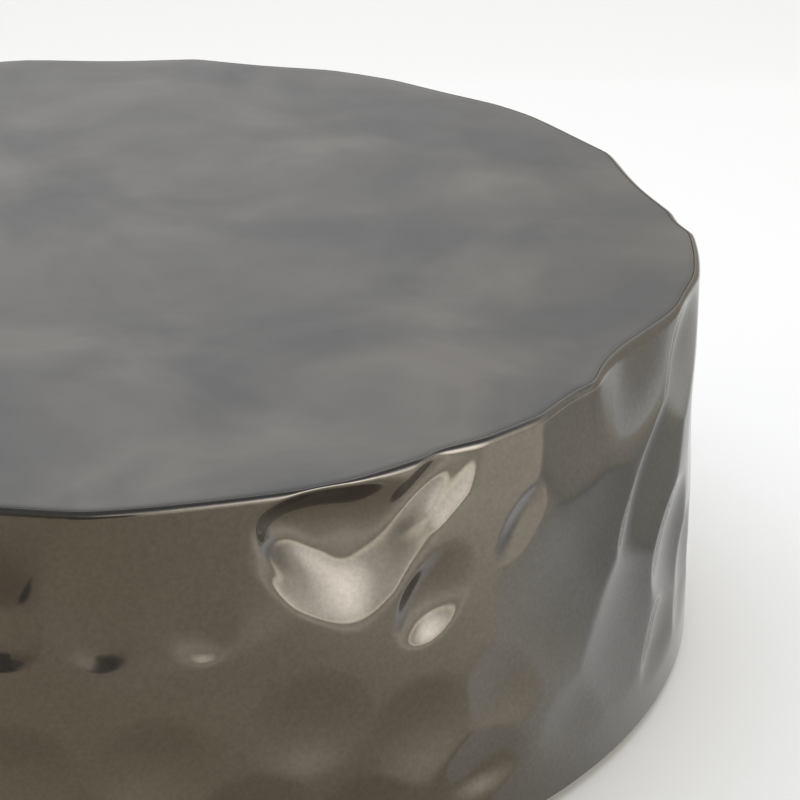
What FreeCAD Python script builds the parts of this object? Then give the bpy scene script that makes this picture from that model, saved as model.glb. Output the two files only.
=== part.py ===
import FreeCAD, Part
import math
import os
from typing import NamedTuple

# Low round drum coffee table: a hammered sheet-metal wall, a flat satin metal top let into
# its rim, a hidden steel frame, a closed wooden base and four screw levellers.
# Millimetres, +Z up, origin on the floor under the middle of the drum.
# Angles are degrees from +X, anticlockwise seen from above; the front is at -90.

Vector = FreeCAD.Vector

# Share of its radius at which a cubic's handles make a quarter round
quarter_round_handle = 0.5523

# Drum
drum_radius = 550.0
table_height = 350.0

# Hammered wall, in sheet panels butted at upright seams, their upper edges turned in to a lip
wall_thickness = 1.5
lip_round = 5.0
panel_count = 3
first_seam_angle = 3.0
seam_gap = 0.2
wall_point_pitch = 10.0

# Dents in the wall
crest_sharpness = 4.0
edge_softness = 0.1
plain_band_margin = 4.0
dent_fade_height = 32.0
front_sector_start = -96.0
front_sector_end = 5.0

# Dents outside the front sector: staggered rows, and a row of broad dents over the rim
dent_pitch = 94.0
dent_row_drop = 78.0
first_row_below_rim = 105.0
dent_half_size = 45.0
dent_depth = 7.5
dent_lean = 0.4
row_stagger = 0.5
rim_dent_pitch = 170.0
rim_dent_half_size = 90.0
rim_dent_flattening = 0.8
rim_dent_depth = 12.0
rim_dent_rise = 10.0
rim_dent_margin = 15.0

# How far those dents wander in place, drop, size, depth and turn
place_wander = 0.35
drop_wander = 0.5
size_wander = 0.4
depth_wander = 0.7
rim_depth_wander = 1.2
tilt_wander = 60.0

# Satin top, let into the rim with a fine groove round it
top_plate_thickness = 2.0
top_edge_round = 0.5
rim_groove = 0.4
core_board_thickness = 18.0
core_board_clearance = 10.0

# Frame of square tube
tube_size = 30.0
tube_wall = 2.0
foot_inset = 150.0
bar_overhang = 55.0

# Base: rolled angle ring inside the foot of the wall, with a board lying on its flange
ring_thickness = 3.0
ring_leg_height = 20.0
ring_flange_width = 32.0
base_board_thickness = 15.0
seat_gap = 0.3

# Foot plates under the uprights, each with a weld nut for its leveller
foot_plate_lip = 25.0
foot_plate_thickness = 6.0
nut_width = 17.0
nut_height = 8.0

# Levellers
pad_radius = 20.0
pad_height = 8.0
pad_edge_chamfer = 1.5
collar_width = 17.0
collar_height = 5.0
shank_radius = 5.0
shank_tail = 3.0
leveller_travel = 15.0
thread_gap = 0.05
shank_hole_gap = 1.0

# Wood screws
screw_radius = 2.0
screw_head_radius = 4.0
screw_head_height = 2.2
screw_hole_gap = 0.2
screw_point_cover = 4.0
core_screw_margin = 30.0
ring_screw_count = 12

# Levels, from the floor up
wall_bottom = pad_height + collar_height - ring_thickness
base_board_bottom = wall_bottom + ring_thickness
base_board_top = base_board_bottom + base_board_thickness
foot_plate_top = base_board_top + foot_plate_thickness
nut_top = foot_plate_top + nut_height
top_plate_bottom = table_height - top_plate_thickness
core_board_bottom = top_plate_bottom - core_board_thickness
bar_bottom = core_board_bottom - tube_size
plain_band_top = wall_bottom + ring_leg_height + plain_band_margin

# Radii, from the wall inwards
ring_outer_radius = drum_radius - wall_thickness - seat_gap
base_board_radius = ring_outer_radius - ring_thickness - seat_gap
ring_inner_radius = ring_outer_radius - ring_flange_width
ring_screw_radius = (ring_inner_radius + base_board_radius) / 2
foot_radius = drum_radius - foot_inset
bar_half_length = foot_radius + tube_size / 2 + bar_overhang

# Where the four feet stand, on the two bars of the cross
foot_places = {
    "right": (foot_radius, 0.0),
    "rear": (0.0, foot_radius),
    "left": (-foot_radius, 0.0),
    "front": (0.0, -foot_radius),
}


class Dent(NamedTuple):
    """One dent: its angle, how far its centre lies below the rim, half its width and height, its
    depth, how far it is turned to the left, how much it deepens and how much it widens towards its
    upper end, how gently its edge runs out, where 1 is a crisp edge, and how much of it is flat."""
    angle: float
    below_rim: float
    half_width: float
    half_height: float
    depth: float
    tilt: float = 0.0
    lean: float = 0.0
    taper: float = 0.0
    ease: float = 1.6
    flat: float = 0.0


rim_dents = [
    Dent(31.0, -10.0, 97.0, 80.0, 6.0),
    Dent(16.0, -10.0, 125.0, 100.0, 18.0),
    Dent(6.5, -5.0, 42.0, 58.0, 9.0),
    Dent(-25.0, -27.0, 138.0, 93.0, 30.0, tilt=23.0, lean=0.75, taper=-0.5),
    Dent(-37.5, -12.0, 80.0, 110.0, 12.0, ease=1.8),
    Dent(-44.5, -13.0, 121.0, 59.0, 6.5, tilt=20.0, lean=0.65, taper=0.6, ease=1.15, flat=0.1),
    Dent(-56.0, -31.0, 78.0, 77.0, 7.0, tilt=33.0, lean=-0.6, taper=0.55, ease=1.5),
    Dent(-79.5, 25.0, 155.0, 120.0, 8.0, tilt=-20.0, lean=-0.4, taper=0.3, ease=1.5, flat=0.3),
    Dent(-93.0, -10.0, 130.0, 120.0, 22.0),
]
bowl_dents = [
    Dent(-62.5, 60.0, 82.0, 63.0, 19.5, tilt=6.0, lean=0.5, taper=0.6, ease=1.65, flat=0.1),
    Dent(-63.0, 47.0, 49.0, 78.0, 17.0, tilt=71.0, lean=1.1, taper=-0.2, ease=1.3, flat=0.2),
    Dent(-58.0, 41.0, 27.0, 100.0, 14.0, tilt=-50.0, lean=0.85, taper=0.15, ease=2.2),
    Dent(-52.5, 0.0, 34.0, 95.0, 9.5, tilt=-37.0, taper=0.5, ease=1.3),
]
small_dents = [
    Dent(-55.0, 110.0, 32.0, 46.0, 10.0, tilt=-38.0, lean=-0.4, ease=1.3),
    Dent(-46.0, 82.0, 22.0, 38.0, 4.5, tilt=-35.0, lean=0.4, taper=-0.2, ease=1.4),
]
right_dents = [
    Dent(-16.5, 39.0, 90.0, 60.0, 12.0, tilt=34.0, lean=-0.25, taper=-0.25, ease=1.7),
    Dent(-23.5, 126.0, 95.0, 56.0, 10.5, tilt=42.0, lean=0.9, taper=0.25, ease=1.1),
    Dent(-36.0, 135.0, 76.0, 85.0, 4.5, tilt=25.0, lean=0.2, taper=0.35, ease=1.8),
    Dent(-18.5, 210.0, 58.0, 56.0, 9.0, tilt=28.0, lean=0.15, taper=0.3, ease=1.2),
    Dent(-30.5, 217.0, 60.0, 90.0, 7.5, tilt=-24.0, lean=0.1, taper=-0.25, ease=1.2),
    Dent(-11.5, 265.0, 53.0, 66.0, 7.0, tilt=-20.0, lean=0.6, taper=-0.1, ease=1.2),
    Dent(-22.0, 290.0, 45.0, 60.0, 6.5, tilt=-20.0, lean=0.3, ease=1.2),
    Dent(-7.0, 139.0, 56.0, 68.0, 2.5, ease=1.4),
    Dent(-40.5, 160.0, 98.0, 80.0, 6.5, tilt=-33.0, taper=0.1, ease=1.6),
    Dent(0.5, 200.0, 48.0, 56.0, 5.0),
    Dent(-2.0, 285.0, 48.0, 44.0, 5.0),
]
left_dents = [
    Dent(-89.5, 80.0, 40.0, 42.0, 5.5, lean=-0.6, ease=1.2),
    Dent(-82.0, 84.0, 44.0, 46.0, 5.5, lean=-0.6, ease=1.2),
    Dent(-74.5, 84.0, 42.0, 46.0, 5.5, tilt=-15.0, lean=-0.6, ease=1.2),
    Dent(-66.0, 195.0, 52.0, 48.0, 6.0),
    Dent(-47.5, 215.0, 52.0, 50.0, 5.0),
    Dent(-89.5, 210.0, 52.0, 48.0, 7.0),
    Dent(-78.5, 212.0, 52.0, 48.0, 7.0),
    Dent(-71.0, 268.0, 52.0, 46.0, 6.0),
    Dent(-56.0, 225.0, 54.0, 50.0, 6.0),
    Dent(-61.5, 288.0, 50.0, 42.0, 6.0),
    Dent(-50.0, 282.0, 52.0, 46.0, 6.0),
    Dent(-38.5, 285.0, 52.0, 46.0, 5.0),
    Dent(-84.0, 285.0, 54.0, 44.0, 6.0),
]


def wander(count, step):
    """Irregular but repeatable shift between -0.5 and 0.5 for the count-th dent."""
    return (count * step) % 1.0 - 0.5


def dents_round_the_back():
    """Dents of the rest of the drum, in staggered rows with a wandering place, size and depth. Above
    them lies a row of broad dents that reach over the rim."""
    golden, silver, bronze = 0.6180, 0.4142, 0.3028
    sector = front_sector_start + 360.0 - front_sector_end
    per_row = int(math.radians(sector) * drum_radius / dent_pitch)
    row_count = int((table_height - first_row_below_rim - plain_band_top) / dent_row_drop) + 1
    dents = []
    for count in range(row_count * per_row):
        row, place = divmod(count, per_row)
        steps = place + row_stagger * (row % 2 + 0.5) + place_wander * wander(count, golden)
        angle = front_sector_end + steps * sector / per_row
        below = first_row_below_rim + dent_row_drop * (row + drop_wander * wander(count, silver))
        size = dent_half_size * (1.0 + size_wander * wander(count, bronze))
        depth = dent_depth * (1.0 + depth_wander * wander(count, golden + bronze))
        tilt = tilt_wander * wander(count, silver + bronze)
        dents.append(Dent(angle, below, size, size, depth, tilt, dent_lean))
    rim_start = rim_dents[0].angle + rim_dent_margin
    rim_sector = rim_dents[-1].angle + 360.0 - rim_dent_margin - rim_start
    rim_count = int(math.radians(rim_sector) * drum_radius / rim_dent_pitch)
    for count in range(rim_count):
        steps = count + 0.5 + place_wander * wander(count, golden)
        size = rim_dent_half_size * (1.0 + size_wander * wander(count, silver))
        depth = rim_dent_depth * (1.0 + rim_depth_wander * wander(count, bronze))
        angle = rim_start + steps * rim_sector / rim_count
        dents.append(Dent(angle, -rim_dent_rise, size, rim_dent_flattening * size, depth))
    return dents


wall_dents = rim_dents + bowl_dents + small_dents + right_dents + left_dents + dents_round_the_back()


def depth_of(dent, angle, z):
    """Depth of one dent, a soft-edged cap, at an angle in radians and a height."""
    across = drum_radius * math.remainder(angle - math.radians(dent.angle), 2 * math.pi)
    up = z - (table_height - dent.below_rim)
    cosine, sine = math.cos(math.radians(dent.tilt)), math.sin(math.radians(dent.tilt))
    over = (up * cosine - across * sine) / dent.half_height
    within = min(max(over, -1.0), 1.0)
    along = (across * cosine + up * sine) / (dent.half_width * (1.0 + dent.taper * within))
    out = max(math.hypot(along, over) - dent.flat, 0.0) / (1.0 - dent.flat)
    cap = 1.0 - out * out
    soft_cap = (cap + math.hypot(cap, edge_softness)) / 2
    return dent.depth * math.exp(dent.lean * within) * soft_cap ** dent.ease


def fade_above_base(z):
    """0 on the plain band round the foot of the wall, rising smoothly to 1."""
    share = min(max((z - plain_band_top) / dent_fade_height, 0.0), 1.0)
    return share * share * (3.0 - 2.0 * share)


def wall_radius(angle, z):
    """Outer radius of the beaten wall; dents that overlap meet in a rounded crest."""
    total = sum(depth_of(dent, angle, z) ** crest_sharpness for dent in wall_dents)
    return drum_radius - fade_above_base(z) * total ** (1.0 / crest_sharpness)


def even_places(count):
    """Places from 0 to 1 of the control points of an evenly knotted cubic that ends on its last points."""
    spans = count - 3
    knots = [0] * 3 + list(range(spans + 1)) + [spans] * 3
    return [sum(knots[i + 1:i + 4]) / (3 * spans) for i in range(count)]


def even_knots(count):
    """Knots and multiplicities that go with even_places."""
    spans = count - 3
    return list(range(spans + 1)), [4] + [1] * (spans - 1) + [4]


def beaten_surface(start, end, rows):
    """Cubic surface that follows the wall between two angles; rows are (inset, height) up the surface."""
    columns = int((end - start) * drum_radius / wall_point_pitch) + 3
    points = []
    for share in even_places(columns):
        angle = start + share * (end - start)
        column = []
        for inset, z in rows:
            radius = wall_radius(angle, z) - inset
            column.append(Vector(radius * math.cos(angle), radius * math.sin(angle), z))
        points.append(column)
    column_knots, column_counts = even_knots(columns)
    row_knots, row_counts = even_knots(len(rows))
    surface = Part.BSplineSurface()
    surface.buildFromPolesMultsKnots(
        points, column_counts, row_counts, column_knots, row_knots, False, False, 3, 3)
    return surface


def closed_solid(faces):
    """Solid enclosed by faces that share their edges."""
    shell = Part.makeShell(faces)
    shell.sewShape()
    solid = Part.Solid(Part.Shell(shell.Faces))
    if solid.Volume < 0:
        solid.reverse()
    return solid


def flat_face(*curves):
    """Plane face inside curves that join end to end."""
    edges = [curve.toShape() for curve in curves]
    return Part.Face(Part.Wire(Part.__sortEdges__(edges)))


def lip_rows(inset):
    """Rows of the quarter round that turns the wall's edge in, for the skin at this depth in the sheet."""
    radius = lip_round - inset
    handle = quarter_round_handle * radius
    top = table_height - inset
    return [
        (inset, top - radius),
        (inset, top - radius + handle),
        (lip_round - handle, top),
        (lip_round, top),
    ]


def wall_panel(start, end):
    """One sheet panel of the wall, dented all through its thickness, with its lip."""
    shoulder = table_height - lip_round
    row_count = int((shoulder - wall_bottom) / wall_point_pitch) + 3
    heights = [wall_bottom + share * (shoulder - wall_bottom) for share in even_places(row_count)]
    skins = []
    for inset in (0.0, wall_thickness):
        side = beaten_surface(start, end, [(inset, z) for z in heights])
        skins.append((side, beaten_surface(start, end, lip_rows(inset))))
    (outer, outer_lip), (inner, inner_lip) = skins
    faces = [surface.toShape() for skin in skins for surface in skin]
    faces.append(Part.makeRuledSurface(outer_lip.vIso(1).toShape(), inner_lip.vIso(1).toShape()))
    outer_foot, inner_foot = outer.vIso(0), inner.vIso(0)
    faces.append(flat_face(
        outer_foot,
        Part.LineSegment(outer_foot.EndPoint, inner_foot.EndPoint),
        inner_foot,
        Part.LineSegment(inner_foot.StartPoint, outer_foot.StartPoint)))
    _, last_column, _, _ = outer.bounds()
    for column in (0, last_column):
        outer_edge, inner_edge = outer_lip.uIso(column), inner_lip.uIso(column)
        outer_side, inner_side = outer.uIso(column), inner.uIso(column)
        faces.append(flat_face(
            outer_side,
            outer_edge,
            Part.LineSegment(outer_edge.EndPoint, inner_edge.EndPoint),
            inner_edge,
            inner_side,
            Part.LineSegment(inner_side.StartPoint, outer_side.StartPoint)))
    return closed_solid(faces)


def seam_angle(index):
    return math.radians(first_seam_angle + index * 360.0 / panel_count)


def top_plate():
    """Flat plate whose outline follows the dented rim, with its upper edge rounded over."""
    let_in = lip_round + rim_groove
    rows = [
        (let_in, top_plate_bottom),
        (let_in, table_height - top_edge_round),
        (let_in, table_height),
        (let_in + top_edge_round, table_height),
    ]
    edges = [beaten_surface(seam_angle(i), seam_angle(i + 1), rows) for i in range(panel_count)]
    faces = [edge.toShape() for edge in edges]
    faces.append(flat_face(*[edge.vIso(0) for edge in edges]))
    faces.append(flat_face(*[edge.vIso(1) for edge in edges]))
    return closed_solid(faces)


def smallest_inner_radius(low, high):
    """Least radius inside the wall between two heights, read every half degree."""
    heights = [low, (low + high) / 2, high]
    angles = [math.radians(step / 2) for step in range(720)]
    return min(wall_radius(angle, z) for angle in angles for z in heights) - wall_thickness


def disc(radius, bottom, top):
    return Part.makeCylinder(radius, top - bottom, Vector(0, 0, bottom))


def pin(place, radius, bottom, top):
    return Part.makeCylinder(radius, top - bottom, Vector(place[0], place[1], bottom))


def block(place, length, width, bottom, top):
    corner = Vector(place[0] - length / 2, place[1] - width / 2, bottom)
    return Part.makeBox(length, width, top - bottom, corner)


def hexagon(place, width, bottom, top):
    """Six-sided prism; width is across its flats."""
    corner_radius = width / math.sqrt(3)
    corners = []
    for step in range(7):
        angle = math.radians(60 * step)
        corners.append(Vector(
            place[0] + corner_radius * math.cos(angle),
            place[1] + corner_radius * math.sin(angle),
            bottom))
    return Part.Face(Part.makePolygon(corners)).extrude(Vector(0, 0, top - bottom))


def screw(place, seat, point):
    """Wood screw whose head sits on the level seat and whose shank ends at the level point."""
    up = point > seat
    head_end = seat - screw_head_height if up else seat + screw_head_height
    head = pin(place, screw_head_radius, min(seat, head_end), max(seat, head_end))
    shank = pin(place, screw_radius, min(seat, point), max(seat, point))
    return head.fuse(shank).removeSplitter()


def drilled(solid, places, radius, bottom, top):
    """The solid with one upright hole at each place."""
    holes = [pin(place, radius, bottom, top) for place in places]
    return solid.cut(Part.makeCompound(holes))


screw_hole_radius = screw_radius + screw_hole_gap
core_board_radius = smallest_inner_radius(core_board_bottom, table_height) - core_board_clearance

# Screw places: along the two bars, at the corners of the foot plates and round the ring
core_screw_places = {"long": [], "right": [], "left": []}
first_core_screw = tube_size / 2 + core_screw_margin
last_core_screw = foot_radius - tube_size / 2 - core_screw_margin
for away in (first_core_screw, last_core_screw):
    core_screw_places["long"] += [(0.0, away), (0.0, -away)]
    core_screw_places["right"].append((away, 0.0))
    core_screw_places["left"].append((-away, 0.0))
all_core_screw_places = sum(core_screw_places.values(), [])
core_screw_point = core_board_bottom + core_board_thickness - screw_point_cover

plate_screw_offset = (tube_size + foot_plate_lip) / 2
plate_screw_places = {}
for side, (x, y) in foot_places.items():
    plate_screw_places[side] = [
        (x + across * plate_screw_offset, y + along * plate_screw_offset)
        for across in (-1, 1) for along in (-1, 1)]
all_plate_screw_places = sum(plate_screw_places.values(), [])
plate_screw_point = base_board_bottom + screw_point_cover

ring_screw_places = []
for index in range(ring_screw_count):
    angle = 2 * math.pi * (index + 0.5) / ring_screw_count
    ring_screw_places.append((ring_screw_radius * math.cos(angle), ring_screw_radius * math.sin(angle)))
ring_screw_point = base_board_top - screw_point_cover


def bar(centre, length, along_x):
    """Square tube lying under the core board."""
    hollow = tube_size - 2 * tube_wall
    low, high = bar_bottom, bar_bottom + tube_size
    if along_x:
        outer = block(centre, length, tube_size, low, high)
        inner = block(centre, length, hollow, low + tube_wall, high - tube_wall)
    else:
        outer = block(centre, tube_size, length, low, high)
        inner = block(centre, hollow, length, low + tube_wall, high - tube_wall)
    return outer.cut(inner)


def cross_bars():
    """One bar from front to rear and two half bars butted against its sides."""
    half_length = bar_half_length - tube_size / 2
    half_centre = tube_size / 2 + half_length / 2
    bars = {
        "long": bar((0.0, 0.0), 2 * bar_half_length, False),
        "right": bar((half_centre, 0.0), half_length, True),
        "left": bar((-half_centre, 0.0), half_length, True),
    }
    names = {"long": "cross_bar_long", "right": "cross_bar_half_right", "left": "cross_bar_half_left"}
    return {
        names[key]: drilled(tube, core_screw_places[key], screw_hole_radius, bar_bottom, core_board_bottom)
        for key, tube in bars.items()}


def core_board():
    board = disc(core_board_radius, core_board_bottom, top_plate_bottom)
    return drilled(board, all_core_screw_places, screw_hole_radius, core_board_bottom, core_screw_point)


def lower_ring():
    """Rolled angle: an upright leg behind the wall and a flat flange under the base board."""
    leg = disc(ring_outer_radius, wall_bottom, wall_bottom + ring_leg_height)
    ring = leg.cut(disc(ring_outer_radius - ring_thickness, base_board_bottom, wall_bottom + ring_leg_height))
    ring = ring.cut(disc(ring_inner_radius, wall_bottom, base_board_bottom))
    return drilled(ring, ring_screw_places, screw_hole_radius, wall_bottom, base_board_bottom)


def base_board():
    board = disc(base_board_radius, base_board_bottom, base_board_top)
    shank_hole = shank_radius + shank_hole_gap
    board = drilled(board, foot_places.values(), shank_hole, base_board_bottom, base_board_top)
    board = drilled(board, ring_screw_places, screw_hole_radius, base_board_bottom, ring_screw_point)
    return drilled(board, all_plate_screw_places, screw_hole_radius, plate_screw_point, base_board_top)


def upright(place):
    hollow = tube_size - 2 * tube_wall
    outer = block(place, tube_size, tube_size, foot_plate_top, bar_bottom)
    return outer.cut(block(place, hollow, hollow, foot_plate_top, bar_bottom))


def foot_plate(side):
    size = tube_size + 2 * foot_plate_lip
    plate = block(foot_places[side], size, size, base_board_top, foot_plate_top)
    plate = drilled(plate, plate_screw_places[side], screw_hole_radius, base_board_top, foot_plate_top)
    return drilled(plate, [foot_places[side]], shank_radius + shank_hole_gap, base_board_top, foot_plate_top)


def weld_nut(place):
    nut = hexagon(place, nut_width, foot_plate_top, nut_top)
    return nut.cut(pin(place, shank_radius + thread_gap, foot_plate_top, nut_top))


def leveller_stem(place):
    """Hexagon collar that stops against the base board, with the screw shank above it."""
    collar = hexagon(place, collar_width, pad_height, base_board_bottom)
    shank_end = nut_top + leveller_travel + shank_tail
    return collar.fuse(pin(place, shank_radius, base_board_bottom, shank_end)).removeSplitter()


def leveller_pad(place):
    pad = pin(place, pad_radius, 0.0, pad_height)
    rims = [edge for edge in pad.Edges if isinstance(edge.Curve, Part.Circle)]
    return pad.makeChamfer(pad_edge_chamfer, rims)


def all_nodes():
    """Every piece of the table by its name."""
    nodes = {}
    half_gap = seam_gap / 2 / drum_radius
    for index, name in enumerate(("rear_right", "rear_left", "front")):
        start = seam_angle(index) + half_gap
        end = seam_angle(index + 1) - half_gap
        nodes["wall_panel_" + name] = wall_panel(start, end)
    nodes["top_plate"] = top_plate()
    nodes["top_core_board"] = core_board()
    nodes.update(cross_bars())
    nodes["lower_ring"] = lower_ring()
    nodes["base_board"] = base_board()
    for side, place in foot_places.items():
        nodes["upright_" + side] = upright(place)
        nodes["foot_plate_" + side] = foot_plate(side)
        nodes["leveller_stem_" + side] = leveller_stem(place)
        nodes["leveller_pad_" + side] = leveller_pad(place)
    nodes["weld_nuts"] = Part.makeCompound([weld_nut(place) for place in foot_places.values()])
    nodes["core_screws"] = Part.makeCompound(
        [screw(place, bar_bottom, core_screw_point) for place in all_core_screw_places])
    nodes["foot_plate_screws"] = Part.makeCompound(
        [screw(place, foot_plate_top, plate_screw_point) for place in all_plate_screw_places])
    nodes["ring_screws"] = Part.makeCompound(
        [screw(place, wall_bottom, ring_screw_point) for place in ring_screw_places])
    return nodes


os.makedirs("parts", exist_ok=True)
for node_name, shape in all_nodes().items():
    shape.exportStep("parts/" + node_name + ".step")
    print(node_name, "solids", len(shape.Solids), "valid", shape.isValid(), "volume", round(shape.Volume))
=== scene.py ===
import math
from typing import NamedTuple

import bmesh
import bpy
import numpy as np
from mathutils import Matrix, Vector


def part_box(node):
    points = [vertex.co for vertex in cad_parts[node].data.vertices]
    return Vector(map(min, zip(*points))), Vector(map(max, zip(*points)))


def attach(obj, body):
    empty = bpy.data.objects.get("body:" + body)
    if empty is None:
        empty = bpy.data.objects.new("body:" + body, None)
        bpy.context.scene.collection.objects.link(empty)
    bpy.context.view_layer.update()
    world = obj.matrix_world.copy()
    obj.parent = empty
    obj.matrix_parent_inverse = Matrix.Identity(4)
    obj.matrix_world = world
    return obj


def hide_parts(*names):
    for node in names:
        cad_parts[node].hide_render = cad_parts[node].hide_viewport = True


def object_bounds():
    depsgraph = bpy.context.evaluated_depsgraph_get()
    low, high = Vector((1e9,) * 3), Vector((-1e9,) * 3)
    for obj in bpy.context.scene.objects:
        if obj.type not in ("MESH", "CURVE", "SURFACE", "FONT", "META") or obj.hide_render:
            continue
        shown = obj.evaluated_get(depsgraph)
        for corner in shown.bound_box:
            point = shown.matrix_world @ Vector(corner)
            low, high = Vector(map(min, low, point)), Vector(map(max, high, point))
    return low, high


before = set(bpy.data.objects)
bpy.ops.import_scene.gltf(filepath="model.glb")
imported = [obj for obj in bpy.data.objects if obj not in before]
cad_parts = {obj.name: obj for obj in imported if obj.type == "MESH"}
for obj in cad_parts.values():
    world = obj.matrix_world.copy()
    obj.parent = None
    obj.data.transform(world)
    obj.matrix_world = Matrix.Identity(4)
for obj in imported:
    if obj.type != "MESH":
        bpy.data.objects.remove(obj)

cad_low, cad_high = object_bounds()


# Levellers. Each is a zinc-plated hexagon and M10 screw that turns in a weld nut, with a round
# moulded nylon pad pressed on its foot. The collar stops against the underside of the base board.

def blank_material(name):
    """New material with its shader, its node tree and the object's own coordinates."""
    material = bpy.data.materials.new(name)
    material.use_nodes = True
    tree = material.node_tree
    coords = tree.nodes.new("ShaderNodeTexCoord").outputs["Object"]
    return material, tree, tree.nodes["Principled BSDF"], coords


def stretched(tree, coords, scale):
    """Coordinates scaled differently along each axis."""
    mapping = tree.nodes.new("ShaderNodeMapping")
    mapping.inputs["Scale"].default_value = scale
    tree.links.new(coords, mapping.inputs["Vector"])
    return mapping.outputs["Vector"]


def noise(tree, coords, scale, detail=2.0, roughness=0.5, distortion=0.0):
    texture = tree.nodes.new("ShaderNodeTexNoise")
    texture.inputs["Scale"].default_value = scale
    texture.inputs["Detail"].default_value = detail
    texture.inputs["Roughness"].default_value = roughness
    texture.inputs["Distortion"].default_value = distortion
    tree.links.new(coords, texture.inputs["Vector"])
    return texture.outputs["Fac"]


def between(tree, share, low, high, start=0.0, end=1.0):
    """Number that goes from low to high as share goes from start to end."""
    spread = tree.nodes.new("ShaderNodeMapRange")
    spread.inputs["From Min"].default_value = start
    spread.inputs["From Max"].default_value = end
    spread.inputs["To Min"].default_value = low
    spread.inputs["To Max"].default_value = high
    tree.links.new(share, spread.inputs["Value"])
    return spread.outputs["Result"]


def colour_steps(tree, share, steps):
    """Colour read from (place, colour) steps."""
    ramp = tree.nodes.new("ShaderNodeValToRGB")
    stops = ramp.color_ramp.elements
    while len(stops) < len(steps):
        stops.new(1.0)
    for stop, (place, colour) in zip(stops, steps):
        stop.position = place
        stop.color = (*colour, 1.0)
    tree.links.new(share, ramp.inputs["Fac"])
    return ramp.outputs["Color"]


def roughen(tree, shader, height, strength, distance):
    """Bump on the shader from a height pattern; distance is its real depth."""
    bump = tree.nodes.new("ShaderNodeBump")
    bump.inputs["Strength"].default_value = strength
    bump.inputs["Distance"].default_value = distance
    tree.links.new(height, bump.inputs["Height"])
    tree.links.new(bump.outputs["Normal"], shader.inputs["Normal"])


def zinc_plate():
    material, tree, shader, coords = blank_material("zinc_plate")
    shader.inputs["Metallic"].default_value = 1.0
    bloom = noise(tree, coords, 90.0, detail=4.0, roughness=0.6)
    colours = colour_steps(tree, bloom, [(0.3, (0.42, 0.42, 0.40)), (0.7, (0.60, 0.60, 0.58))])
    tree.links.new(colours, shader.inputs["Base Color"])
    tree.links.new(between(tree, bloom, 0.28, 0.46), shader.inputs["Roughness"])
    roughen(tree, shader, noise(tree, coords, 1500.0, detail=2.0), strength=0.25, distance=0.0002)
    return material


def moulded_nylon():
    material, tree, shader, coords = blank_material("moulded_nylon")
    flow = noise(tree, coords, 60.0, detail=3.0)
    colours = colour_steps(tree, flow, [(0.3, (0.018, 0.018, 0.019)), (0.7, (0.030, 0.030, 0.032))])
    tree.links.new(colours, shader.inputs["Base Color"])
    tree.links.new(between(tree, flow, 0.42, 0.6), shader.inputs["Roughness"])
    roughen(tree, shader, noise(tree, coords, 900.0, detail=3.0), strength=0.3, distance=0.0003)
    return material


def keep_mesh(name, bm, material, sharp_angle=35.0):
    """Turn a finished bmesh into a piece, smooth but for its sharp edges."""
    for face in bm.faces:
        face.smooth = True
    for edge in bm.edges:
        if len(edge.link_faces) == 2 and edge.calc_face_angle() > math.radians(sharp_angle):
            edge.smooth = False
    mesh = bpy.data.meshes.new(name)
    bm.to_mesh(mesh)
    bm.free()
    mesh.materials.append(material)
    piece = bpy.data.objects.new(name, mesh)
    bpy.context.scene.collection.objects.link(piece)
    return piece


zinc_material = zinc_plate()
nylon_material = moulded_nylon()
feet = ("right", "rear", "left", "front")
shank_radius = 0.005
thread_pitch, thread_depth, thread_steps = 0.0015, 0.0009, 20
turns_below_collar, turns_past_end = 2, 1
hexagon_bevel, hexagon_bevel_rows = 0.0006, 2
same_place = 1e-6


def spun(bm, points, centre, climb=0.0, turns=1, steps=64):
    """Surface swept round an upright axis by a chain of (radius, height) points, climbing if asked."""
    chain = [bm.verts.new((centre.x + radius, centre.y, height)) for radius, height in points]
    edges = [bm.edges.new(ends) for ends in zip(chain, chain[1:])]
    bmesh.ops.spin(
        bm, geom=chain + edges, cent=(centre.x, centre.y, 0.0), axis=(0.0, 0.0, 1.0),
        dvec=(0.0, 0.0, climb / steps), angle=2 * math.pi * turns, steps=steps * turns,
        use_merge=(climb == 0.0))
    bmesh.ops.remove_doubles(bm, verts=bm.verts[:], dist=same_place)


def trimmed(bm, height, keep_above):
    """Cut level at a height, with the open end closed."""
    bmesh.ops.bisect_plane(
        bm, geom=bm.verts[:] + bm.edges[:] + bm.faces[:], plane_co=(0.0, 0.0, height),
        plane_no=(0.0, 0.0, 1.0), clear_inner=keep_above, clear_outer=not keep_above)
    level = [edge for edge in bm.edges if edge.is_boundary
             and all(abs(vert.co.z - height) < same_place for vert in edge.verts)]
    bmesh.ops.edgeloop_fill(bm, edges=level)


def rounded(bm, edges, radius, rows):
    """Round edges over with a few rows of faces."""
    bmesh.ops.bevel(
        bm, geom=edges, offset=radius, segments=rows, affect="EDGES", profile=0.5, material=-1)


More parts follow.
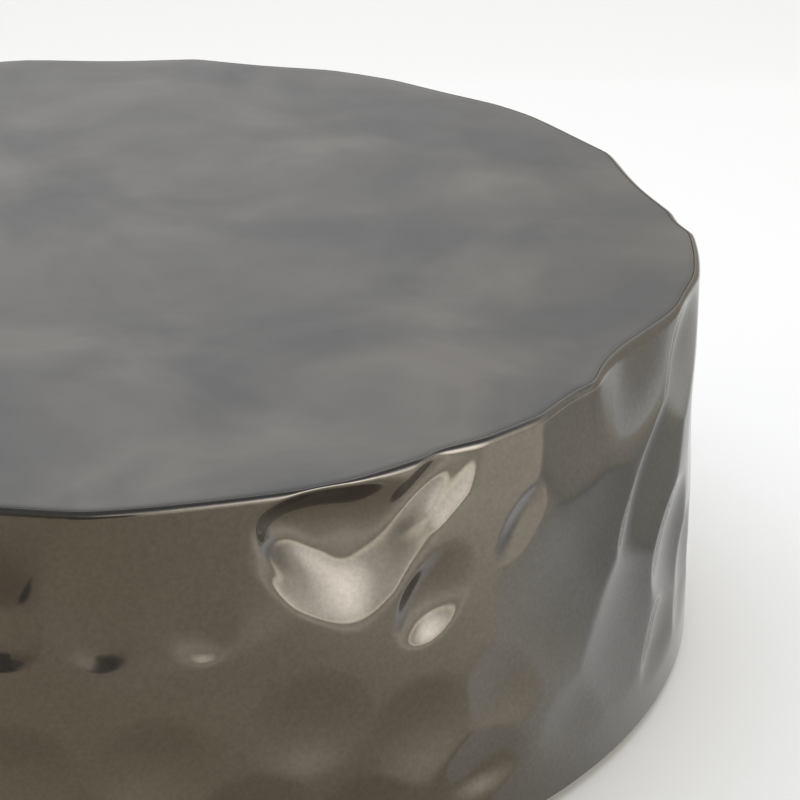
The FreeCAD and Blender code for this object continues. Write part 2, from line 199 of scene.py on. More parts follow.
def leveller_stem(side):
    """Threaded shank on a hexagon with its edges broken."""
    low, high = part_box("leveller_stem_" + side)
    centre = (low + high) / 2
    collar_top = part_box("base_board")[0].z
    root = shank_radius - thread_depth
    start = collar_top - turns_below_collar * thread_pitch
    tooth = [(root, start), (shank_radius, start + thread_pitch / 2), (root, start + thread_pitch)]
    turns = math.ceil((high.z - collar_top) / thread_pitch) + turns_below_collar + turns_past_end
    bm = bmesh.new()
    spun(bm, tooth, centre, thread_pitch, turns, thread_steps)
    trimmed(bm, collar_top - hexagon_bevel, True)
    trimmed(bm, high.z, False)
    hexagon = bmesh.ops.create_circle(
        bm, cap_ends=True, segments=6, radius=(high.x - low.x) / 2,
        matrix=Matrix.Translation((centre.x, centre.y, low.z)) @ Matrix.Rotation(math.pi / 2, 4, "Z"))
    raised = bmesh.ops.extrude_face_region(bm, geom=list(hexagon["verts"][0].link_faces))["geom"]
    upper = [item for item in raised if isinstance(item, bmesh.types.BMVert)]
    bmesh.ops.translate(bm, verts=upper, vec=(0.0, 0.0, collar_top - low.z))
    corners = {edge for vert in upper + hexagon["verts"] for edge in vert.link_edges}
    rounded(bm, list(corners), hexagon_bevel, hexagon_bevel_rows)
    bmesh.ops.recalc_face_normals(bm, faces=bm.faces[:])
    return keep_mesh("leveller_screw_" + side, bm, zinc_material)


def leveller_pad(side):
    """Lathe-shaped pad with two gripping rings underneath, a rounded edge and a raised hub."""
    low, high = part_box("leveller_pad_" + side)
    radius, height = (high.x - low.x) / 2, high.z - low.z
    groove, hub = 0.0009, 0.6 * radius
    outline = [
        (0.0, groove), (0.30 * radius, groove), (0.34 * radius, 0.0), (0.48 * radius, 0.0),
        (0.52 * radius, groove), (0.62 * radius, groove), (0.66 * radius, 0.0), (0.87 * radius, 0.0),
        (0.94 * radius, 0.05 * height), (0.985 * radius, 0.18 * height), (radius, 0.34 * height),
        (0.985 * radius, 0.52 * height), (0.93 * radius, 0.64 * height), (0.86 * radius, 0.70 * height),
        (hub, 0.80 * height), (0.97 * hub, 0.95 * height), (0.92 * hub, height), (0.0, height),
    ]
    bm = bmesh.new()
    spun(bm, outline, (low + high) / 2)
    bmesh.ops.recalc_face_normals(bm, faces=bm.faces[:])
    return keep_mesh("leveller_foot_" + side, bm, nylon_material)


for side in feet:
    stem = leveller_stem(side)
    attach(stem, "leveller_" + side)
    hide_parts("leveller_stem_" + side)
    pad = leveller_pad(side)
    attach(pad, "leveller_" + side)
    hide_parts("leveller_pad_" + side)


# Base. A dark-stained board lies on the flange of a rolled angle ring inside the foot of the
# wall, and wood screws come up through the flange into the board.

def stained_board():
    material, tree, shader, coords = blank_material("stained_board")
    along_grain = stretched(tree, coords, (14.0, 220.0, 60.0))
    fibres = noise(tree, along_grain, 1.0, detail=5.0, roughness=0.6, distortion=0.4)
    colours = colour_steps(tree, fibres, [(0.3, (0.040, 0.033, 0.027)), (0.7, (0.085, 0.072, 0.060))])
    tree.links.new(colours, shader.inputs["Base Color"])
    tree.links.new(between(tree, fibres, 0.5, 0.72), shader.inputs["Roughness"])
    roughen(tree, shader, fibres, strength=0.35, distance=0.0006)
    return material


def powder_coat():
    material, tree, shader, coords = blank_material("powder_coat")
    patches = noise(tree, coords, 25.0, detail=4.0)
    colours = colour_steps(tree, patches, [(0.3, (0.014, 0.014, 0.015)), (0.7, (0.024, 0.024, 0.026))])
    tree.links.new(colours, shader.inputs["Base Color"])
    tree.links.new(between(tree, patches, 0.38, 0.52), shader.inputs["Roughness"])
    roughen(tree, shader, noise(tree, coords, 420.0, detail=1.0), strength=0.4, distance=0.0004)
    return material


def dress(node, material):
    """Give a carried-over piece its finish."""
    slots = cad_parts[node].data.materials
    slots.clear()
    slots.append(material)


ring_screw_count = 12
screw_head_radius, screw_head_height, screw_shank_radius = 0.004, 0.0022, 0.002
screw_point_share, screw_sides = 0.5, 16
dome_share = 0.6
recess_depth = 0.0012
recess_cells = {(3, 1), (3, 2), (3, 3), (3, 4), (3, 5), (1, 3), (2, 3), (4, 3), (5, 3)}


def pan_head(bm):
    """Domed head facing down at the middle of the drum, with a cross recess for the driver."""
    cells = 7
    side = 2 * screw_head_radius / cells
    grid = bmesh.ops.create_grid(bm, x_segments=cells, y_segments=cells, size=screw_head_radius)
    faces = {face for vert in grid["verts"] for face in vert.link_faces}
    recess = []
    for face in faces:
        middle = face.calc_center_median()
        cell = (int(middle.x / side + cells / 2), int(middle.y / side + cells / 2))
        if cell in recess_cells:
            recess.append(face)
    rim = [edge for edge in bm.edges if edge.is_boundary]
    sunk = bmesh.ops.extrude_face_region(bm, geom=recess)["geom"]
    sunk_verts = {item for item in sunk if isinstance(item, bmesh.types.BMVert)}
    for vert in bm.verts:
        across, along = vert.co.x / screw_head_radius, vert.co.y / screw_head_radius
        vert.co.x *= math.sqrt(1.0 - along ** 2 / 2)
        vert.co.y *= math.sqrt(1.0 - across ** 2 / 2)
        out = vert.co.xy.length / screw_head_radius
        vert.co.z = -screw_head_height * (1.0 - dome_share * out ** 3)
        if vert in sunk_verts:
            vert.co.z += recess_depth
    skirt = bmesh.ops.extrude_edge_only(bm, edges=rim)["geom"]
    for vert in [item for item in skirt if isinstance(item, bmesh.types.BMVert)]:
        vert.co.z = 0.0
    bmesh.ops.holes_fill(bm, edges=[edge for edge in bm.edges if edge.is_boundary])


def ring_screws():
    """One screw made at the middle, then copied round the ring."""
    low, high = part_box("ring_screws")
    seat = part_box("lower_ring")[0].z
    half_step = math.pi / ring_screw_count
    circle = (high.x - screw_head_radius) / math.cos(half_step)
    bm = bmesh.new()
    pan_head(bm)
    length = high.z - seat
    bmesh.ops.create_cone(
        bm, cap_ends=True, segments=screw_sides, radius1=screw_shank_radius,
        radius2=screw_point_share * screw_shank_radius, depth=length,
        matrix=Matrix.Translation((0.0, 0.0, length / 2)))
    bmesh.ops.recalc_face_normals(bm, faces=bm.faces[:])
    bmesh.ops.translate(bm, verts=bm.verts[:], vec=(circle, 0.0, seat))
    first_turn = Matrix.Rotation(half_step, 3, "Z")
    bmesh.ops.rotate(bm, cent=(0.0, 0.0, 0.0), matrix=first_turn, verts=bm.verts[:])
    first = bm.verts[:] + bm.edges[:] + bm.faces[:]
    for count in range(1, ring_screw_count):
        copy = bmesh.ops.duplicate(bm, geom=first)["geom"]
        verts = [item for item in copy if isinstance(item, bmesh.types.BMVert)]
        turn = Matrix.Rotation(2 * half_step * count, 3, "Z")
        bmesh.ops.rotate(bm, cent=(0.0, 0.0, 0.0), matrix=turn, verts=verts)
    return keep_mesh("ring_pan_head_screws", bm, zinc_material)


powder_material = powder_coat()
dress("base_board", stained_board())
dress("lower_ring", powder_material)
screws = ring_screws()
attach(screws, "table")
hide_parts("ring_screws")


# Inner frame. Square steel tubes, black powder coated: four uprights on screwed-down foot plates
# carry a cross of bars. It is out of sight once the drum is closed.

frame_pieces = ["cross_bar_long", "cross_bar_half_right", "cross_bar_half_left"]
for side in feet:
    frame_pieces += ["upright_" + side, "foot_plate_" + side]
for node in frame_pieces:
    dress(node, powder_material)
for node in ("weld_nuts", "core_screws", "foot_plate_screws"):
    dress(node, zinc_material)


# Core board. Bare fibreboard disc screwed to the bars, which backs the thin metal top.

def bare_fibreboard():
    material, tree, shader, coords = blank_material("bare_fibreboard")
    felt = noise(tree, coords, 160.0, detail=6.0, roughness=0.7)
    colours = colour_steps(tree, felt, [(0.3, (0.23, 0.15, 0.085)), (0.7, (0.34, 0.235, 0.14))])
    tree.links.new(colours, shader.inputs["Base Color"])
    tree.links.new(between(tree, felt, 0.75, 0.9), shader.inputs["Roughness"])
    roughen(tree, shader, felt, strength=0.4, distance=0.0005)
    return material


dress("top_core_board", bare_fibreboard())


# Hammered wall. Three panels of sheet steel, beaten from outside, butted at upright seams and
# polished under dark nickel. Their upper edge is turned in to a rounded lip, and the dents near
# it push the rim itself out of round.

drum_radius = cad_high.x
rim_height = cad_high.z
wall_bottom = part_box("wall_panel_front")[0].z
wall_thickness = 0.0015
lip_round = 0.005
plain_band_top = 0.034
dent_fade_height = 0.032
crest_sharpness = 4.0
edge_softness = 0.1


class Dent(NamedTuple):
    """One dent: its angle, how far its centre lies below the rim, half its width and height, its
    depth, how far it is turned to the left, how much it deepens and how much it widens towards its
    upper end, how gently its edge runs out, where 1 is a crisp edge, and how much of it is flat."""
    angle: float
    below_rim: float
    half_width: float
    half_height: float
    depth: float
    tilt: float = 0.0
    lean: float = 0.0
    taper: float = 0.0
    ease: float = 1.6
    flat: float = 0.0


rim_dents = [
    Dent(31.0, -0.010, 0.097, 0.080, 0.006),
    Dent(16.0, -0.010, 0.125, 0.100, 0.018),
    Dent(6.5, -0.005, 0.042, 0.058, 0.009),
    Dent(-25.0, -0.027, 0.138, 0.093, 0.030, tilt=23.0, lean=0.75, taper=-0.5),
    Dent(-37.5, -0.012, 0.080, 0.110, 0.012, ease=1.8),
    Dent(-44.5, -0.013, 0.121, 0.059, 0.0065, tilt=20.0, lean=0.65, taper=0.6, ease=1.15, flat=0.1),
    Dent(-56.0, -0.031, 0.078, 0.077, 0.007, tilt=33.0, lean=-0.6, taper=0.55, ease=1.5),
    Dent(-79.5, 0.025, 0.155, 0.120, 0.008, tilt=-20.0, lean=-0.4, taper=0.3, ease=1.5, flat=0.3),
    Dent(-93.0, -0.010, 0.130, 0.120, 0.022),
]
bowl_dents = [
    Dent(-62.5, 0.060, 0.082, 0.063, 0.0195, tilt=6.0, lean=0.5, taper=0.6, ease=1.65, flat=0.1),
    Dent(-63.0, 0.047, 0.049, 0.078, 0.017, tilt=71.0, lean=1.1, taper=-0.2, ease=1.3, flat=0.2),
    Dent(-58.0, 0.041, 0.027, 0.100, 0.014, tilt=-50.0, lean=0.85, taper=0.15, ease=2.2),
    Dent(-52.5, 0.000, 0.034, 0.095, 0.0095, tilt=-37.0, taper=0.5, ease=1.3),
]
small_dents = [
    Dent(-55.0, 0.110, 0.032, 0.046, 0.010, tilt=-38.0, lean=-0.4, ease=1.3),
    Dent(-46.0, 0.082, 0.022, 0.038, 0.0045, tilt=-35.0, lean=0.4, taper=-0.2, ease=1.4),
]
right_dents = [
    Dent(-16.5, 0.039, 0.090, 0.060, 0.012, tilt=34.0, lean=-0.25, taper=-0.25, ease=1.7),
    Dent(-23.5, 0.126, 0.095, 0.056, 0.0105, tilt=42.0, lean=0.9, taper=0.25, ease=1.1),
    Dent(-36.0, 0.135, 0.076, 0.085, 0.0045, tilt=25.0, lean=0.2, taper=0.35, ease=1.8),
    Dent(-18.5, 0.210, 0.058, 0.056, 0.009, tilt=28.0, lean=0.15, taper=0.3, ease=1.2),
    Dent(-30.5, 0.217, 0.060, 0.090, 0.0075, tilt=-24.0, lean=0.1, taper=-0.25, ease=1.2),
    Dent(-11.5, 0.265, 0.053, 0.066, 0.007, tilt=-20.0, lean=0.6, taper=-0.1, ease=1.2),
    Dent(-22.0, 0.290, 0.045, 0.060, 0.0065, tilt=-20.0, lean=0.3, ease=1.2),
    Dent(-7.0, 0.139, 0.056, 0.068, 0.0025, ease=1.4),
    Dent(-40.5, 0.160, 0.098, 0.080, 0.0065, tilt=-33.0, taper=0.1, ease=1.6),
    Dent(0.5, 0.200, 0.048, 0.056, 0.005),
    Dent(-2.0, 0.285, 0.048, 0.044, 0.005),
]
left_dents = [
    Dent(-89.5, 0.080, 0.040, 0.042, 0.0055, lean=-0.6, ease=1.2),
    Dent(-82.0, 0.084, 0.044, 0.046, 0.0055, lean=-0.6, ease=1.2),
    Dent(-74.5, 0.084, 0.042, 0.046, 0.0055, tilt=-15.0, lean=-0.6, ease=1.2),
    Dent(-66.0, 0.195, 0.052, 0.048, 0.006),
    Dent(-47.5, 0.215, 0.052, 0.050, 0.005),
    Dent(-89.5, 0.210, 0.052, 0.048, 0.007),
    Dent(-78.5, 0.212, 0.052, 0.048, 0.007),
    Dent(-71.0, 0.268, 0.052, 0.046, 0.006),
    Dent(-56.0, 0.225, 0.054, 0.050, 0.006),
    Dent(-61.5, 0.288, 0.050, 0.042, 0.006),
    Dent(-50.0, 0.282, 0.052, 0.046, 0.006),
    Dent(-38.5, 0.285, 0.052, 0.046, 0.005),
    Dent(-84.0, 0.285, 0.054, 0.044, 0.006),
]
front_start, front_end = -96.0, 5.0


def wander(count, step):
    """Irregular but repeatable shift between -0.5 and 0.5 for the count-th dent."""
    return (count * step) % 1.0 - 0.5


def dents_round_the_back():
    """Dents of the rest of the drum, in staggered rows with a wandering place, size and depth. Above
    them lies a row of broad dents that reach over the rim."""
    golden, silver, bronze = 0.6180, 0.4142, 0.3028
    pitch, row_count, row_drop, first_below = 0.094, 3, 0.078, 0.105
    half_size, usual_depth, usual_lean, stagger = 0.045, 0.0075, 0.4, 0.5
    place_wander, drop_wander, size_wander, depth_wander, tilt_wander = 0.35, 0.5, 0.4, 0.7, 60.0
    rim_pitch, rim_half_size, rim_flattening, rim_rise = 0.170, 0.090, 0.8, 0.010
    rim_depth, rim_depth_wander, rim_margin = 0.012, 1.2, 15.0
    sector = front_start + 360.0 - front_end
    per_row = int(math.radians(sector) * drum_radius / pitch)
    dents = []
    for count in range(row_count * per_row):
        row, place = divmod(count, per_row)
        steps = place + stagger * (row % 2 + 0.5) + place_wander * wander(count, golden)
        angle = front_end + steps * sector / per_row
        below = first_below + row_drop * (row + drop_wander * wander(count, silver))
        size = half_size * (1.0 + size_wander * wander(count, bronze))
        depth = usual_depth * (1.0 + depth_wander * wander(count, golden + bronze))
        tilt = tilt_wander * wander(count, silver + bronze)
        dents.append(Dent(angle, below, size, size, depth, tilt, usual_lean))
    rim_start = rim_dents[0].angle + rim_margin
    rim_sector = rim_dents[-1].angle + 360.0 - rim_margin - rim_start
    rim_count = int(math.radians(rim_sector) * drum_radius / rim_pitch)
    for count in range(rim_count):
        steps = count + 0.5 + place_wander * wander(count, golden)
        size = rim_half_size * (1.0 + size_wander * wander(count, silver))
        depth = rim_depth * (1.0 + rim_depth_wander * wander(count, bronze))
        angle = rim_start + steps * rim_sector / rim_count
        dents.append(Dent(angle, -rim_rise, size, rim_flattening * size, depth))
    return dents


wall_dents = rim_dents + bowl_dents + small_dents + right_dents + left_dents + dents_round_the_back()


def dent_depth(dent, angles, heights):
    """Depth of one dent, a soft-edged cap, at arrays of angles and heights."""
    turn = np.remainder(angles - math.radians(dent.angle) + math.pi, 2 * math.pi) - math.pi
    across = drum_radius * turn
    up = heights - (rim_height - dent.below_rim)
    cosine, sine = math.cos(math.radians(dent.tilt)), math.sin(math.radians(dent.tilt))
    over = (up * cosine - across * sine) / dent.half_height
    within = np.clip(over, -1.0, 1.0)
    along = (across * cosine + up * sine) / (dent.half_width * (1.0 + dent.taper * within))
    out = np.maximum(np.hypot(along, over) - dent.flat, 0.0) / (1.0 - dent.flat)
    cap = 1.0 - out ** 2
    soft_cap = (cap + np.hypot(cap, edge_softness)) / 2
    return dent.depth * np.exp(dent.lean * within) * soft_cap ** dent.ease


def wall_radius(angles, heights):
    """Outer radius of the beaten wall; dents that overlap meet in a rounded crest."""
    total = sum(dent_depth(dent, angles, heights) ** crest_sharpness for dent in wall_dents)
    share = np.clip((heights - plain_band_top) / dent_fade_height, 0.0, 1.0)
    fade = share ** 2 * (3.0 - 2.0 * share)
    return drum_radius - fade * total ** (1.0 / crest_sharpness)


def rising(tree, value, start, end):
    """Share that rises from 0 to 1 as a value goes from start to end."""
    return between(tree, value, 0.0, 1.0, start, end)


# Places of the colours among the sockets of a mix node
mix_low, mix_high, mix_result = 6, 7, 2


def mixed(tree, share, low, high):
    """Colour between two colours, either of them a socket or a plain value."""
    mix = tree.nodes.new("ShaderNodeMix")
    mix.data_type = "RGBA"
    tree.links.new(share, mix.inputs["Factor"])
    for colour, socket in ((low, mix.inputs[mix_low]), (high, mix.inputs[mix_high])):
        if isinstance(colour, tuple):
            socket.default_value = (*colour, 1.0)
        else:
            tree.links.new(colour, socket)
    return mix.outputs[mix_result]


def polished_nickel():
    material, tree, shader, coords = blank_material("polished_nickel")
    shader.inputs["Metallic"].default_value = 1.0
    tarnish = noise(tree, coords, 7.0, detail=4.0, roughness=0.55, distortion=0.3)
    dull = colour_steps(tree, tarnish, [(0.3, (0.176, 0.173, 0.168)), (0.7, (0.200, 0.196, 0.191))])
    bright = colour_steps(tree, tarnish, [(0.3, (0.220, 0.217, 0.212)), (0.7, (0.248, 0.244, 0.238))])
    grain = rising(tree, noise(tree, coords, 240.0, detail=4.0, roughness=0.75), 0.3, 0.7)
    tree.links.new(mixed(tree, grain, dull, bright), shader.inputs["Base Color"])
    haze = noise(tree, coords, 30.0, detail=5.0, roughness=0.6)
    tree.links.new(between(tree, haze, 0.07, 0.13), shader.inputs["Roughness"])
    roughen(tree, shader, noise(tree, coords, 2200.0, detail=1.0), strength=0.06, distance=0.00004)
    return material


nickel_material = polished_nickel()
panel_sides = ("rear_right", "rear_left", "front")
panel_angle = 2 * math.pi / len(panel_sides)
first_seam = math.radians(3.0)
seam_gap = 0.0002
half_seam = seam_gap / 2 / drum_radius
panel_columns, outer_rows, lip_rows, inner_rows = 480, 150, 8, 24


def sheet_section():
    """Points (inset, height) up the outside of the sheet, over its lip, and back down inside."""
    shoulder = rim_height - lip_round
    rise = shoulder - wall_bottom
    outer = [(0.0, wall_bottom + rise * row / outer_rows) for row in range(outer_rows)]
    inner = [(wall_thickness, shoulder - rise * (row + 1) / inner_rows) for row in range(inner_rows)]
    outer_lip = []
    inner_lip = []
    for row in range(lip_rows + 1):
        turn = math.pi / 2 * row / lip_rows
        for radius, points in ((lip_round, outer_lip), (lip_round - wall_thickness, inner_lip)):
            points.append((lip_round - radius * math.cos(turn), shoulder + radius * math.sin(turn)))
    return outer + outer_lip + inner_lip[::-1] + inner


def wall_panel(name, start, end):
    """Grid wrapped over the sheet's section, bent round the drum and beaten."""
    section = np.array(sheet_section())
    bm = bmesh.new()
    bmesh.ops.create_grid(bm, x_segments=panel_columns, y_segments=len(section) - 1, size=0.5)
    places = np.array([vert.co for vert in bm.verts]) + 0.5
    angles = start + places[:, 0] * (end - start)
    insets, heights = section[np.rint(places[:, 1] * (len(section) - 1)).astype(int)].T
    radii = wall_radius(angles, heights) - insets
    for vert, angle, height, radius in zip(bm.verts, angles, heights, radii):
        vert.co = (radius * math.cos(angle), radius * math.sin(angle), height)
    foot = [edge for edge in bm.edges if edge.is_boundary
            and all(vert.co.z < wall_bottom + same_place for vert in edge.verts)]
    bmesh.ops.bridge_loops(bm, edges=foot)
    bmesh.ops.holes_fill(bm, edges=[edge for edge in bm.edges if edge.is_boundary])
    bmesh.ops.recalc_face_normals(bm, faces=bm.faces[:])
    return keep_mesh(name, bm, nickel_material)


for index, side in enumerate(panel_sides):
    seam = first_seam + index * panel_angle
    panel = wall_panel("hammered_wall_" + side, seam + half_seam, seam + panel_angle - half_seam)
    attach(panel, "table")
    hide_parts("wall_panel_" + side)


# Top. A satin metal plate cut to the dented outline, which lies on the core board flush with the
# wall's lip, with a fine joint round it. Its dark finish is softly clouded.

top_thickness = 0.002
top_edge_round, top_edge_rows = 0.0005, 3
top_sides = 1080
rim_groove = 0.0004
flat_margin = 0.006


def clouded_satin():
    material, tree, shader, coords = blank_material("clouded_satin")
    shader.inputs["Metallic"].default_value = 1.0
    clouds = noise(tree, coords, 5.5, detail=5.0, roughness=0.5, distortion=0.6)
    colours = colour_steps(tree, clouds, [
        (0.36, (0.160, 0.162, 0.167)),
        (0.50, (0.200, 0.197, 0.191)),
        (0.64, (0.250, 0.239, 0.228)),
    ])
    tree.links.new(colours, shader.inputs["Base Color"])
    smears = noise(tree, coords, 18.0, detail=5.0, roughness=0.6)
    tree.links.new(between(tree, smears, 0.34, 0.44), shader.inputs["Roughness"])
    roughen(tree, shader, noise(tree, coords, 1800.0, detail=2.0), strength=0.08, distance=0.00005)
    return material


def top_plate():
    """Disc drawn in to the rim's outline, thickened downwards, its upper edge rounded."""
    bm = bmesh.new()
    bmesh.ops.create_circle(bm, cap_ends=True, segments=top_sides, radius=1.0)
    places = np.array([vert.co for vert in bm.verts])
    angles = np.arctan2(places[:, 1], places[:, 0])
    radii = wall_radius(angles, np.full_like(angles, rim_height)) - lip_round - rim_groove
    for vert, angle, radius in zip(bm.verts, angles, radii):
        vert.co = (radius * math.cos(angle), radius * math.sin(angle), rim_height)
    bm.normal_update()
    if bm.faces[:][0].normal.z < 0:
        bmesh.ops.reverse_faces(bm, faces=bm.faces[:])
    rim_edges = bm.edges[:]
    walls = bmesh.ops.extrude_edge_only(bm, edges=rim_edges)
    low_verts = [item for item in walls["geom"] if isinstance(item, bmesh.types.BMVert)]
    bmesh.ops.translate(bm, verts=low_verts, vec=(0.0, 0.0, -top_thickness))
    rounded(bm, rim_edges, top_edge_round, top_edge_rows)
    bmesh.ops.holes_fill(bm, edges=[edge for edge in bm.edges if edge.is_boundary])
    top_face = max(bm.faces, key=lambda face: face.calc_area() * face.normal.z)
    bmesh.ops.inset_region(bm, faces=[top_face], thickness=flat_margin)
    bmesh.ops.recalc_face_normals(bm, faces=bm.faces[:])
    return keep_mesh("satin_top", bm, clouded_satin())


top = top_plate()
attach(top, "table")
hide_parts("top_plate")


# Studio. A plain white floor, soft light from the room, from a window to the front right and from
# above, and a lamp below that shows the underside. The room is dark to the left of the camera.
# A taupe card in front, a grey card to the right and the dark stand under the camera show in the
# polished wall alone.

paper_white = (0.91, 0.92, 0.94)
paper_roughness, card_roughness = 0.8, 0.9


def studio_floor():
    """White disc that is clear from below."""
    floor_radius, floor_sides = 30.0, 96
    bm = bmesh.new()
    bmesh.ops.create_circle(bm, cap_ends=True, segments=floor_sides, radius=floor_radius)
    material, tree, shader = blank_material("studio_floor")[:3]
    shader.inputs["Base Color"].default_value = (*paper_white, 1.0)
    shader.inputs["Roughness"].default_value = paper_roughness
    seen_from_below = tree.nodes.new("ShaderNodeNewGeometry").outputs["Backfacing"]
    clear = tree.nodes.new("ShaderNodeBsdfTransparent")
    either = tree.nodes.new("ShaderNodeMixShader")
    tree.links.new(seen_from_below, either.inputs["Fac"])
    tree.links.new(shader.outputs["BSDF"], either.inputs[1])
    tree.links.new(clear.outputs["BSDF"], either.inputs[2])
    tree.links.new(either.outputs["Shader"], tree.nodes["Material Output"].inputs["Surface"])
    floor = keep_mesh("floor", bm, material)
    return floor


def axes_of(tree, coords):
    """The X, Y and Z of a place, each on its own."""
    split = tree.nodes.new("ShaderNodeSeparateXYZ")
    tree.links.new(coords, split.inputs["Vector"])
    return split.outputs


def direction(azimuth, elevation):
    """Unit vector from the table; azimuth and elevation in degrees."""
    turn, lift = math.radians(azimuth), math.radians(elevation)
    return Vector((math.cos(turn) * math.cos(lift), math.sin(turn) * math.cos(lift), math.sin(lift)))


def towards(tree, coords, azimuth, elevation=0.0):
    """How far a place, or the end of a unit vector, lies out in a direction."""
    dot = tree.nodes.new("ShaderNodeVectorMath")
    dot.operation = "DOT_PRODUCT"
    dot.inputs[1].default_value = direction(azimuth, elevation)
    tree.links.new(coords, dot.inputs[0])
    return dot.outputs["Value"]


def studio_world():
    """Walls and ceiling of the room, with the window's light added to them."""
    wall_top = 0.5
    dark_ceiling = [(0.80, (0.22, 0.22, 0.22)), (1.0, (0.18, 0.18, 0.18))]
    warm_wall, skirting = (0.82, 0.74, 0.60), (1.45, 1.31, 1.02)
    white_wall, dim_wall = (1.0, 1.0, 1.0), (0.57, 0.52, 0.44)
    dark_corner = (0.17, 0.16, 0.13)
    dim_azimuth, corner_azimuth = 45.0, -125.0
    window_azimuth, window_elevation = -38.0, 28.0
    world = bpy.data.worlds.new("studio")
    bpy.context.scene.world = world
    world.use_nodes = True
    tree = world.node_tree
    coords = tree.nodes.new("ShaderNodeTexCoord").outputs["Generated"]
    axes = axes_of(tree, coords)
    front = colour_steps(
        tree, axes["Z"], [(0.05, skirting), (0.09, warm_wall), (wall_top, warm_wall)] + dark_ceiling)
    back = colour_steps(tree, axes["Z"], [(0.0, white_wall), (wall_top, white_wall)] + dark_ceiling)
    right = colour_steps(tree, axes["Z"], [(0.0, dim_wall), (wall_top, dim_wall)] + dark_ceiling)
    to_back = rising(tree, axes["Y"], 0.1, 0.5)
    to_right = rising(tree, towards(tree, coords, dim_azimuth), 0.65, 0.88)
    to_corner = rising(tree, towards(tree, coords, corner_azimuth), 0.58, 0.75)
    room = mixed(tree, to_back, front, back)
    room = mixed(tree, to_right, room, right)
    room = mixed(tree, to_corner, room, dark_corner)
    window = colour_steps(tree, towards(tree, coords, window_azimuth, window_elevation), [
        (0.74, (0.0, 0.0, 0.0)),
        (0.88, (0.45, 0.42, 0.38)),
        (0.97, (1.95, 1.80, 1.62)),
        (1.0, (3.2, 3.0, 2.7)),
    ])
    light = tree.nodes.new("ShaderNodeMix")
    light.data_type = "RGBA"
    light.blend_type = "ADD"
    light.inputs["Factor"].default_value = 1.0
    tree.links.new(room, light.inputs[mix_low])
    tree.links.new(window, light.inputs[mix_high])
    background = tree.nodes["Background"]
    tree.links.new(light.outputs[mix_result], background.inputs["Color"])
    background.inputs["Strength"].default_value = 1.0


def reflected_only(piece):
    """A stage piece that shows in the polished metal and nowhere else."""
    piece.visible_camera = False
    piece.visible_diffuse = False
    piece.visible_shadow = False


def sheet(width, length, move):
    """Flat rectangle, made at the middle of the floor and moved to its place."""
    bm = bmesh.new()
    bmesh.ops.create_grid(bm, x_segments=1, y_segments=1, size=0.5)
    bmesh.ops.scale(bm, verts=bm.verts[:], vec=(width, length, 1.0))
    bmesh.ops.transform(bm, matrix=move, verts=bm.verts[:])
    return bm


def taupe(tree, axes):
    """Colour of the card in front of the table, paler to the right."""
    return colour_steps(tree, rising(tree, axes["X"], 0.1, 1.0), [
        (0.0, (0.48, 0.41, 0.305)),
        (0.4, (0.52, 0.455, 0.35)),
        (1.0, (0.95, 0.87, 0.73)),
    ])


def front_card():
    """Taupe card lying on the floor in front of the table, white where it begins."""
    half_width, front_edge, taupe_edge, back_edge, lift = 20.0, -20.0, -0.42, -0.36, 0.001
    middle = Vector((0.0, (front_edge + back_edge) / 2, lift))
    bm = sheet(2 * half_width, back_edge - front_edge, Matrix.Translation(middle))
    material, tree, shader, coords = blank_material("front_card")
    axes = axes_of(tree, coords)
    to_white = rising(tree, axes["Y"], taupe_edge, back_edge)
    tree.links.new(mixed(tree, to_white, taupe(tree, axes), paper_white), shader.inputs["Base Color"])
    shader.inputs["Roughness"].default_value = paper_roughness
    card = keep_mesh("front_card", bm, material)
    reflected_only(card)
    return card


def grey_card():
    """Card lying on the floor to the right: pale next to the table, dark further out, taupe in front."""
    left_edge, right_edge, front_edge, back_edge, lift = 0.3, 1.9, -0.43, 1.57, 0.002
    pale = (0.86, 0.87, 0.88)
    front_azimuth = -80.0
    middle = Vector(((left_edge + right_edge) / 2, (front_edge + back_edge) / 2, lift))
    bm = sheet(right_edge - left_edge, back_edge - front_edge, Matrix.Translation(middle))
    material, tree, shader, coords = blank_material("grey_card")
    axes = axes_of(tree, coords)
    beside = colour_steps(tree, rising(tree, axes["X"], 0.55, 1.75), [
        (0.0, (0.87, 0.88, 0.90)),
        (0.12, (0.72, 0.72, 0.73)),
        (0.22, (0.46, 0.46, 0.46)),
        (0.32, (0.35, 0.345, 0.335)),
        (0.5, (0.44, 0.42, 0.385)),
        (1.0, (0.62, 0.57, 0.50)),
    ])
    to_back = rising(tree, axes["Y"], 0.3, 0.8)
    to_front = rising(tree, towards(tree, coords, front_azimuth), 0.36, 0.56)
    greys = mixed(tree, to_front, mixed(tree, to_back, beside, pale), taupe(tree, axes))
    tree.links.new(greys, shader.inputs["Base Color"])
    shader.inputs["Roughness"].default_value = card_roughness
    card = keep_mesh("grey_card", bm, material)
    reflected_only(card)
    return card


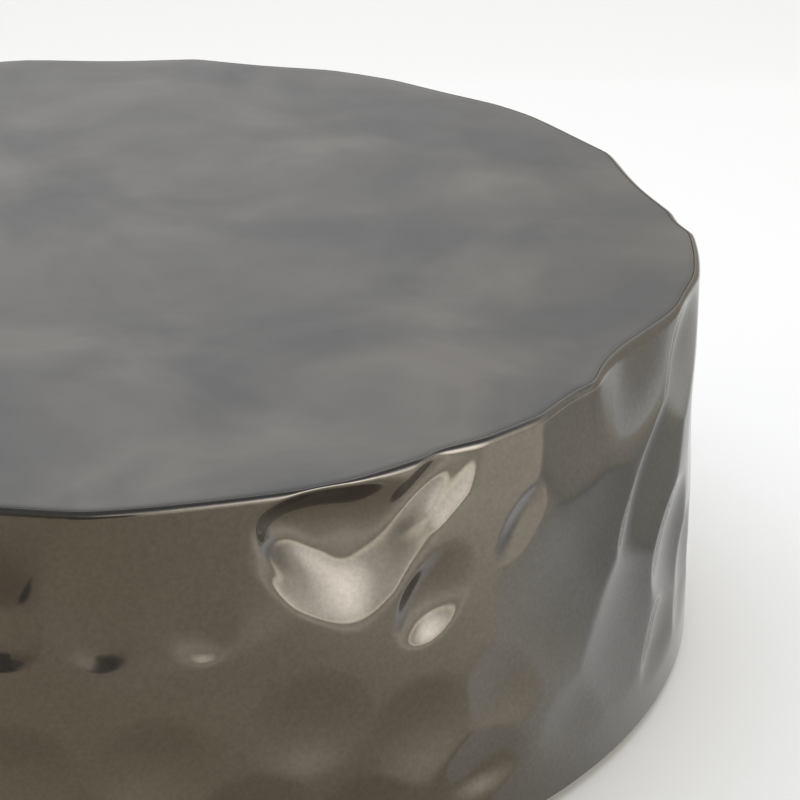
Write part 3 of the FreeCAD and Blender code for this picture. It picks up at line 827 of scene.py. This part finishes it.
def camera_stand():
    """Dark upright card in front, where the camera's tripod stands."""
    width, height, distance, aim_height = 1.1, 1.3, 2.7, 0.25
    facing = direction(-88.0, 8.0)
    place = Vector((0.0, 0.0, aim_height)) + facing * distance
    turn = facing.to_track_quat("Z", "Y").to_matrix().to_4x4()
    bm = sheet(width, height, Matrix.Translation(place) @ turn)
    material, tree, shader, coords = blank_material("dark_cloth")
    weave = noise(tree, coords, 40.0, detail=3.0)
    colours = colour_steps(tree, weave, [(0.3, (0.10, 0.09, 0.08)), (0.7, (0.13, 0.12, 0.11))])
    tree.links.new(colours, shader.inputs["Base Color"])
    shader.inputs["Roughness"].default_value = card_roughness
    reflected_only(keep_mesh("camera_stand", bm, material))


def area_lamp(name, size, power):
    """Square lamp facing down, which doesn't show in the metal."""
    light = bpy.data.lights.new(name, "AREA")
    light.shape = "SQUARE"
    light.size = size
    light.energy = power
    lamp = bpy.data.objects.new(name, light)
    bpy.context.scene.collection.objects.link(lamp)
    lamp.visible_glossy = False
    return lamp


def overhead_light():
    """Broad, slightly cool lamp over the back of the table."""
    lamp = area_lamp("overhead", size=4.0, power=92.0)
    lamp.data.color = (0.92, 0.97, 1.0)
    lamp.location = (0.3, 0.6, 3.5)


def light_from_below(stage_pieces):
    """Lamp under the floor that shows the underside; the stage neither blocks it nor takes its light."""
    lamp = area_lamp("from_below", size=3.0, power=60.0)
    lamp.location = (0.0, 0.0, -2.0)
    lamp.rotation_euler = (math.pi, 0.0, 0.0)
    let_through = bpy.data.collections.new("let_through")
    for piece in stage_pieces:
        let_through.objects.link(piece)
    for linked in let_through.collection_objects:
        linked.light_linking.link_state = "EXCLUDE"
    lamp.light_linking.blocker_collection = let_through
    lamp.light_linking.receiver_collection = let_through


floor = studio_floor()
studio_world()
cards = [front_card(), grey_card()]
camera_stand()
overhead_light()
light_from_below([floor] + cards)


# Camera, at the photograph's angle and framing.

camera_place = (0.289, -2.321, 1.234)
camera_dip = math.radians(24.05)
camera_data = bpy.data.cameras.new("camera")
camera_data.sensor_width = 36.0
camera_data.lens = 127.2
camera = bpy.data.objects.new("camera", camera_data)
bpy.context.scene.collection.objects.link(camera)
camera.location = camera_place
camera.rotation_euler = (math.pi / 2 - camera_dip, 0.0, 0.0)
bpy.context.scene.camera = camera
bpy.context.scene.view_settings.view_transform = "Standard"
